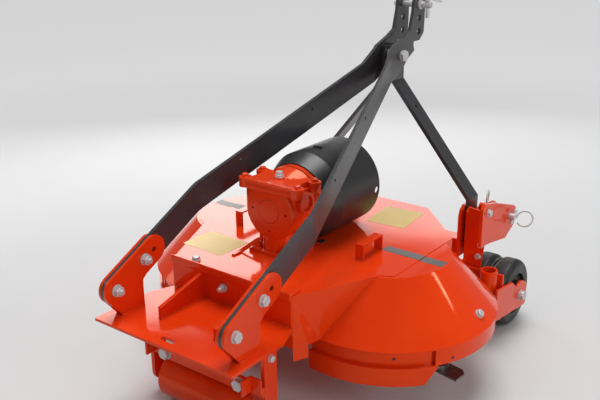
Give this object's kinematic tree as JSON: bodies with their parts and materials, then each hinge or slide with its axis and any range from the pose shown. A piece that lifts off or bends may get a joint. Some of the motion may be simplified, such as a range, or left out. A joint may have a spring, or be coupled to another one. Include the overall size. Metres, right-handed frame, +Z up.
{
  "type": "rotary mower",
  "caption": "Tractor-mounted rotary mower with a twin-cone deck, timed blade rotors, a bar A-frame for the three-point linkage, a central gearbox, front support wheels and a rear roller.",
  "frame": {"origin": "on the ground, midway between the shelf's rear edge and the fronts of the support wheels, on the centre line", "axes": "+X to the machine's right, +Y forwards to the tractor, +Z up"},
  "size_m": [1.1018, 1.211, 1.0069],
  "materials": {
    "orange_paint": "gloss",
    "charcoal_paint": "satin",
    "zinc": "bright zinc",
    "blade_steel": "bare",
    "guard_plastic": "moulded",
    "wheel_rubber": "matt"
  },
  "bodies": {
    "frame": {"deck_shell": "orange_paint", "belt_case": "orange_paint", "rim_skirt_left": "orange_paint", "rim_skirt_right": "orange_paint", "rear_wall": "orange_paint", "rear_gusset": "orange_paint", "rear_shelf": "orange_paint", "arm_bracket_left": "orange_paint", "arm_bracket_right": "orange_paint", "rear_arm_left": "charcoal_paint", "rear_arm_right": "charcoal_paint", "front_leg_left": "charcoal_paint", "front_leg_right": "charcoal_paint", "mast_spacer": "zinc", "top_link_pin": "zinc", "front_beam": "orange_paint", "link_bracket_left": "orange_paint", "link_bracket_right": "orange_paint", "link_pin_left": "zinc", "link_pin_right": "zinc", "gearbox_housing": "orange_paint", "gearbox_lid": "orange_paint", "gearbox_cover": "orange_paint", "breather": "zinc", "shaft_guard": "guard_plastic", "hook_left": "orange_paint", "hook_right": "orange_paint", "spindle_housing_left": "orange_paint", "spindle_housing_right": "orange_paint", "wheel_socket_left": "orange_paint", "wheel_socket_right": "orange_paint", "wheel_plates_left": "orange_paint", "wheel_plates_right": "orange_paint", "wheel_axle_left": "zinc", "wheel_axle_right": "zinc", "roller_legs": "orange_paint", "roller_bar": "orange_paint"},
    "rotor_left": {"rotor_left": "blade_steel", "blades_left": "blade_steel"},
    "rotor_right": {"rotor_right": "blade_steel", "blades_right": "blade_steel"},
    "drive_stub": {"drive_stub": "blade_steel"},
    "wheels_left": {"wheels_left": "wheel_rubber"},
    "wheels_right": {"wheels_right": "wheel_rubber"},
    "rear_roller": {"rear_roller": "orange_paint"}
  },
  "joints": [
    {"name": "rotor_left_spin", "type": "hinge", "parent": "frame", "child": "rotor_left", "pos_m": [-0.246, 0.0375, 0.1], "axis": [0, 0, 1], "continuous": true},
    {"name": "rotor_right_spin", "type": "hinge", "parent": "frame", "child": "rotor_right", "pos_m": [0.246, 0.0375, 0.1], "axis": [0, 0, 1], "continuous": true},
    {"name": "drive_stub_spin", "type": "hinge", "parent": "frame", "child": "drive_stub", "pos_m": [0, 0.0495, 0.494], "axis": [0, 1, 0], "continuous": true},
    {"name": "wheels_left_spin", "type": "hinge", "parent": "frame", "child": "wheels_left", "pos_m": [-0.37, 0.4985, 0.107], "axis": [1, 0, 0], "continuous": true},
    {"name": "wheels_right_spin", "type": "hinge", "parent": "frame", "child": "wheels_right", "pos_m": [0.37, 0.4985, 0.107], "axis": [1, 0, 0], "continuous": true},
    {"name": "roller_spin", "type": "hinge", "parent": "frame", "child": "rear_roller", "pos_m": [0, -0.4245, 0.063], "axis": [1, 0, 0], "continuous": true}
  ],
  "couplings": [
    {"joint": "rotor_right_spin", "follows": "rotor_left_spin", "ratio": -1},
    {"joint": "drive_stub_spin", "follows": "rotor_left_spin", "ratio": 0.2}
  ]
}
